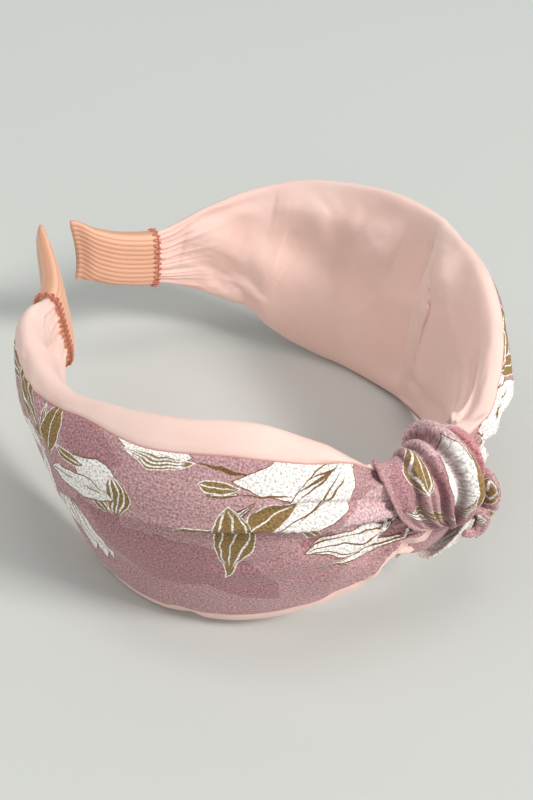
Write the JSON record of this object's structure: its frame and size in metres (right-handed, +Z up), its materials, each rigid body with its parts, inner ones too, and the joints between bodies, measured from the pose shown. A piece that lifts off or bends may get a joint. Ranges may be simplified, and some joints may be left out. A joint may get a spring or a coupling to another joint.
{
  "type": "knotted headband",
  "caption": "Wide fabric headband on a sprung hoop, with a printed outer panel, a satin lining, a tied knot at the crown and ribbed ribbon sleeves on the tips.",
  "frame": {"origin": "middle of the footprint, on the surface that the band's lower edges stand on", "axes": "+Z up along the hoop's axis, +Y from the crown and its knot to the two open tips, +X towards the arm on the right as seen from the knot"},
  "size_m": [0.1302, 0.1422, 0.066],
  "materials": {
    "hoop": "matt moulded plastic",
    "printed_fabric": "printed crepe chiffon: dusty mauve ground, white petals, olive-gold leaves and outlines",
    "satin_lining": "soft peach-pink satin",
    "ribbon": "ribbed tan grosgrain ribbon",
    "overcast_thread": "salmon sewing thread",
    "seam_thread": "pale pink sewing thread"
  },
  "bodies": {
    "crown": {"hoop_crown": "hoop", "lining_crown": "satin_lining", "print_crown": "printed_fabric", "knot_wrap": "printed_fabric", "knot_side_fold": "printed_fabric", "knot_under_fold": "printed_fabric", "knot_tacks": "seam_thread"},
    "left_arm": {"hoop_left": "hoop", "lining_left": "satin_lining", "print_panel_left": "printed_fabric", "seam_upper_left": "seam_thread", "seam_lower_left": "seam_thread", "tip_sleeve_left": "ribbon", "overcasting_left": "overcast_thread"},
    "right_arm": {"hoop_right": "hoop", "lining_right": "satin_lining", "print_panel_right": "printed_fabric", "seam_upper_right": "seam_thread", "seam_lower_right": "seam_thread", "tip_sleeve_right": "ribbon", "overcasting_right": "overcast_thread"}
  },
  "joints": [
    {"name": "left_flex", "type": "hinge", "parent": "crown", "child": "left_arm", "pos_m": [-0.02086, -0.05405, 0.033], "axis": [0, 0, 1], "range_deg": [-1, 25], "stiffness_Nm_per_rad": 0.5},
    {"name": "right_flex", "type": "hinge", "parent": "crown", "child": "right_arm", "pos_m": [0.02086, -0.05405, 0.033], "axis": [0, 0, -1], "range_deg": [-1, 25], "stiffness_Nm_per_rad": 0.5}
  ]
}
